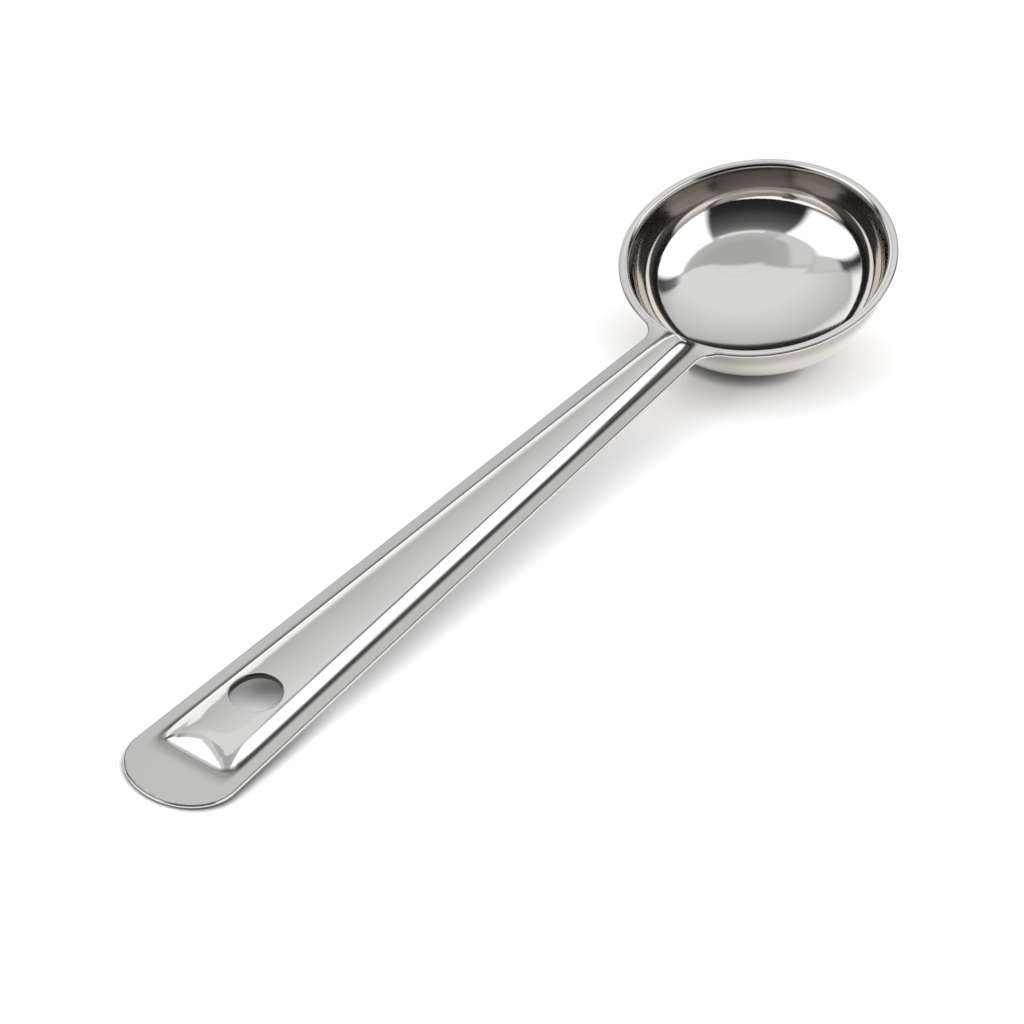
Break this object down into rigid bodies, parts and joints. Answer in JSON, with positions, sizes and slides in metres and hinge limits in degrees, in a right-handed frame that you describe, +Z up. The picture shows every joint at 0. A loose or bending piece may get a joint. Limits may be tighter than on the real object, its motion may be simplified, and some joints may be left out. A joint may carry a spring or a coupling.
{
  "type": "ladle",
  "caption": "Polished steel ladle with a round brimmed bowl and a tapering handle that has a hollow raised rib, a round tip and a hang hole.",
  "frame": {"origin": "on the table plane, below the middle of the ladle's bounding box", "axes": "+X along the ladle from the handle's tip to the bowl, +Y across it, +Z up from the table that it lies on"},
  "size_m": [0.3126, 0.084, 0.0388],
  "materials": {
    "polished_steel": "mirror-polished stainless sheet",
    "weld_steel": "ground stainless weld metal"
  },
  "bodies": {
    "root": {"bowl": "polished_steel", "handle": "polished_steel", "plug_weld_1": "weld_steel", "plug_weld_2": "weld_steel", "plug_weld_3": "weld_steel", "plug_weld_4": "weld_steel"}
  },
  "joints": []
}
